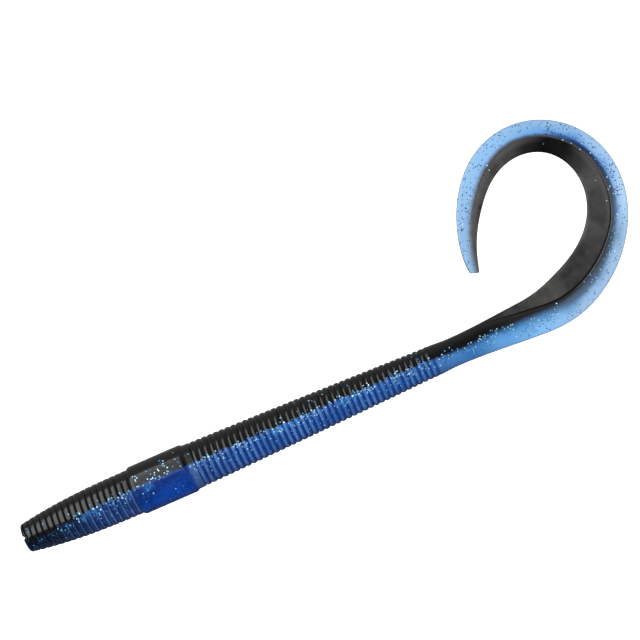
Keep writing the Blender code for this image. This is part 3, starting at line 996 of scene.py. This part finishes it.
# first and last place in mm, flakes for each mm of length, offset and spread in mm past the line,
# the mixture, and how far apart the clumps are in mm, or 0 where the flakes are strewn evenly
GLITTER = (
    (1, 31, 4, 1.5, 2.2, MIXED, 0), (9, 30.5, 4.5, 0.2, 0.8, BRIGHT, 5),
    (31.9, 46, 4.6, -1.7, 1.2, BRIGHT, 0), (31.9, 46, 2, -0.4, 0.4, BRIGHT, 3),
    (31.9, 46, 2, 3.4, 2, MIXED, 0), (48, 115, 5, 0.1, 0.7, BRIGHT, 4.8),
    (47.2, 115, 3.2, 0.6, 0.9, BRIGHT, 0), (47.2, 115, 3.5, 2.2, 1.5, MIXED, 0),
    (47.2, 115, 0.8, -1.8, 1, BRIGHT, 0), (115, 138, 6.5, 0.5, 0.8, BRIGHT, 0),
    (118, 150, 4, 2.2, 1.4, MIXED, 0), (138, 188, 3, 0.9, 0.9, BRIGHT, 0),
    (138, 253, 6, 3, 1.8, SHADED_FLAKES, 0), (183, 207, 9, 1.8, 1, SHADED_FLAKES, 3),
    (205, 222, 3, 2.2, 1.2, SHADED_FLAKES, 2.4), (222, 253, 4.5, 1.6, 1.1, SHADED_FLAKES, 3.4),
    (188, 253, 0.5, 1.2, 1.2, BRIGHT, 0),
)


def scatter():
    """Every flake's place, side, tint and size."""
    batches = [strew(int((end - start) * density), start * MM, end * MM, offset, spread, mixture, clump)
               for start, end, density, offset, spread, mixture, clump in GLITTER]
    return [np.concatenate(column) for column in zip(*batches)]


FLAKES = scatter()
print("flakes:", len(FLAKES[0]))

# %% [markdown]
# Each flake is laid on the skin by two of its directions, found from points of the surface close
# by, then tilted at random. The flakes of one span are one piece, held like the span.

# %% The glitter of every span
FLAKE_TILT = math.radians(9)


def glitter_finish():
    finish = Finish("glitter")
    tint = finish.node("ShaderNodeAttribute", {"attribute_name": "tint"}, {}, "Color")
    sparkle = finish.noise(1500.0, 1.0)
    finish.set({"Base Color": tint, "Roughness": sparkle * 0.3 + 0.15, "Metallic": 0.35})
    return finish.material


def lay(s, share, level):
    """The place and the three directions of a flake on the skin."""
    reach = 0.05 * MM
    here = surface(s, share, level)
    ahead = surface(s + reach, share, level) - surface(s - reach, share, level)
    beside = surface(s, share - 0.01, level) - surface(s, share + 0.01, level)
    outward = np.cross(ahead, beside) * level[:, None]
    u = ahead / np.linalg.norm(ahead, axis=1, keepdims=True)
    n = outward / np.linalg.norm(outward, axis=1, keepdims=True)
    return here, u, np.cross(n, u), n


def glitter(name, start, end, hinge, finish):
    s, share, level, tint, size = (column[(FLAKES[0] >= start) & (FLAKES[0] < end)] for column in FLAKES)
    here, u, v, n = lay(s, share, level)
    spin = chance.uniform(0, 2 * math.pi, len(s))
    lean = chance.normal(0, FLAKE_TILT, (2, len(s)))
    u, v = (np.cos(spin)[:, None] * u + np.sin(spin)[:, None] * v,
            np.cos(spin)[:, None] * v - np.sin(spin)[:, None] * u)
    n = n + lean[0][:, None] * u + lean[1][:, None] * v
    n /= np.linalg.norm(n, axis=1, keepdims=True)
    v = np.cross(n, u)
    v /= np.linalg.norm(v, axis=1, keepdims=True)
    u = np.cross(v, n)
    flat = FLAKE_POINTS[None, :, :2] * size[:, None, None]
    points = (here[:, None] + flat[:, :, :1] * u[:, None] + flat[:, :, 1:] * v[:, None]
              + FLAKE_POINTS[None, :, 2:] * n[:, None])
    points[..., 2] = np.clip(points[..., 2], CAD_BOX[0][2], CAD_BOX[1][2])
    corners = len(FLAKE_POINTS)
    faces = [tuple(corners * i + corner for corner in face)
             for i in range(len(s)) for face in FLAKE_FACES]
    mesh = bpy.data.meshes.new(f"{name}_glitter")
    mesh.from_pydata(points.reshape(-1, 3).tolist(), [], faces)
    layer = mesh.attributes.new("tint", "FLOAT_COLOR", "POINT")
    colours = np.array([(*TINTS[i], 1.0) for i in np.repeat(tint, corners)])
    layer.data.foreach_set("color", colours.ravel())
    piece = bpy.data.objects.new(f"{name}_glitter", mesh)
    bpy.context.scene.collection.objects.link(piece)
    mesh.materials.append(finish)
    return hold(piece, start, end, hinge)


GLITTER_FINISH = glitter_finish()
for name, start, end, hinge in SPANS:
    glitter(name, start, end, hinge, GLITTER_FINISH)
print("pieces of glitter:", len(SPANS))

# %% [markdown]
# The studio is a plain white floor under soft light. The floor lies well below the worm, so that the
# body can bend down without going through it. Soft boxes hang on the far side, a strong one to the
# left and three that grow dimmer with distance, and their reflections draw the grey band on the egg
# sac and the grey fingers on the ribs. They light nothing else. One wide light from overhead
# brightens the floor and the colours, and isn't seen in reflections.

# %% Floor and lights
FLOOR_SIZE, FLOOR_DROP, FLOOR_GLOW = 20.0, 0.2, 0.42
PAPER, PAPER_GRAIN = (0.90, 0.90, 0.90, 1.0), (0.93, 0.93, 0.93, 1.0)


def floor_finish():
    """White paper with a little light of its own. From below it is clear, so the worm can be seen."""
    finish = Finish("floor_white")
    grain = finish.noise(60.0, 2.0)
    finish.set({"Base Color": finish.mix(grain, PAPER, PAPER_GRAIN),
                "Roughness": 0.9, "Emission Color": (1.0, 1.0, 1.0, 1.0), "Emission Strength": FLOOR_GLOW})
    underneath = finish.node("ShaderNodeNewGeometry", {}, {}, "Backfacing")
    clear = finish.node("ShaderNodeBsdfTransparent", {}, {})
    both = finish.node("ShaderNodeMixShader", {}, {0: underneath, 2: clear})
    finish.links.new(finish.shader.outputs[0], both.socket.node.inputs[1])
    finish.links.new(both.socket, finish.nodes["Material Output"].inputs["Surface"])
    return finish.material


deselect()
bpy.ops.mesh.primitive_plane_add(size=FLOOR_SIZE, location=(0, 0, -FLOOR_DROP))
floor = bpy.context.object
floor.name = "floor"
floor.data.materials.append(floor_finish())
floor.visible_glossy = False
floor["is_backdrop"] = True

SOFT_BOX_HEIGHT = 0.6
# left and right edge, near and far edge, and glow
SOFT_BOXES = {
    "soft_box_left": (-1.40, -0.19, 0.05, 2.20, 2.9),
    "soft_box": (-0.19, -0.046, 0.05, 0.62, 1.3),
    "soft_box_far": (-0.19, -0.046, 0.62, 1.20, 0.65),
    "soft_box_farther": (-0.19, -0.046, 1.20, 3.00, 0.32),
}
DAYLIGHT, DAYLIGHT_SPREAD = 3.4, math.radians(120)
WALL_GREY, CEILING_GREY = (0.32, 0.32, 0.33, 1.0), (0.05, 0.05, 0.055, 1.0)


def soft_box(name, left, right, near, far, glow):
    """A glowing rectangle that is seen only in reflections."""
    bpy.ops.object.light_add(type="AREA", location=((left + right) / 2, (near + far) / 2, SOFT_BOX_HEIGHT))
    light = bpy.context.object
    light.name = name
    light.data.shape = "RECTANGLE"
    light.data.size, light.data.size_y = right - left, far - near
    light.data.energy = glow * math.pi * light.data.size * light.data.size_y
    light.visible_camera = light.visible_diffuse = False


def daylight():
    bpy.ops.object.light_add(type="SUN", location=(0, 0, 1))
    light = bpy.context.object
    light.name = "overhead_light"
    light.data.energy = DAYLIGHT
    light.data.angle = DAYLIGHT_SPREAD
    light.visible_glossy = False


def room():
    """A dark ceiling and pale walls, darker on the near side."""
    world = bpy.data.worlds.new("pale_room")
    world.use_nodes = True
    nodes, links = world.node_tree.nodes, world.node_tree.links
    where, parts = nodes.new("ShaderNodeTexCoord"), nodes.new("ShaderNodeSeparateXYZ")
    ramp = nodes.new("ShaderNodeValToRGB")
    for stop, colour, position in zip(ramp.color_ramp.elements, (WALL_GREY, CEILING_GREY), (0.1, 0.75)):
        stop.color, stop.position = colour, position
    side = nodes.new("ShaderNodeMapRange")
    side.inputs["From Min"].default_value, side.inputs["From Max"].default_value = -0.4, 0.4
    side.inputs["To Min"].default_value = 0.08
    links.new(where.outputs["Generated"], parts.inputs[0])
    links.new(parts.outputs["Z"], ramp.inputs[0])
    links.new(parts.outputs["Y"], side.inputs["Value"])
    links.new(side.outputs[0], nodes["Background"].inputs["Strength"])
    links.new(ramp.outputs["Color"], nodes["Background"].inputs["Color"])
    bpy.context.scene.world = world
    bpy.context.scene.view_settings.view_transform = "Standard"


for name, (left, right, near, far, glow) in SOFT_BOXES.items():
    soft_box(name, left, right, near, far, glow)
daylight()
room()

# %% [markdown]
# The camera looks straight down, turned so that the worm climbs to the right.

# %% Camera
CAMERA_TURN = math.radians(-23.55)
CAMERA_HEIGHT = 0.4646
CAMERA_OVER = (92.5 * MM, 21.45 * MM)
CAMERA_LENS, CAMERA_SENSOR = 100.0, 36.0


def camera():
    bpy.ops.object.camera_add(location=(NOSE[0] + CAMERA_OVER[0], NOSE[1] + CAMERA_OVER[1], CAMERA_HEIGHT),
                              rotation=(0, 0, CAMERA_TURN))
    made = bpy.context.object
    made.name = "camera"
    made.data.lens = CAMERA_LENS
    made.data.sensor_width = CAMERA_SENSOR
    made.data.dof.use_dof = False
    bpy.context.scene.camera = made


camera()
print("camera above the floor, m:", round(CAMERA_HEIGHT + FLOOR_DROP, 3))

# %% [markdown]
# The last box is printed beside the first: the finished worm should fill the space of its solids and
# not stand out of it.

# %% Sizes at the end
FINAL_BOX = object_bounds()
for label, box in (("solids", CAD_BOX), ("visual model", FINAL_BOX)):
    print(label, "from", [round(v / MM, 2) for v in box[0]], "to", [round(v / MM, 2) for v in box[1]])
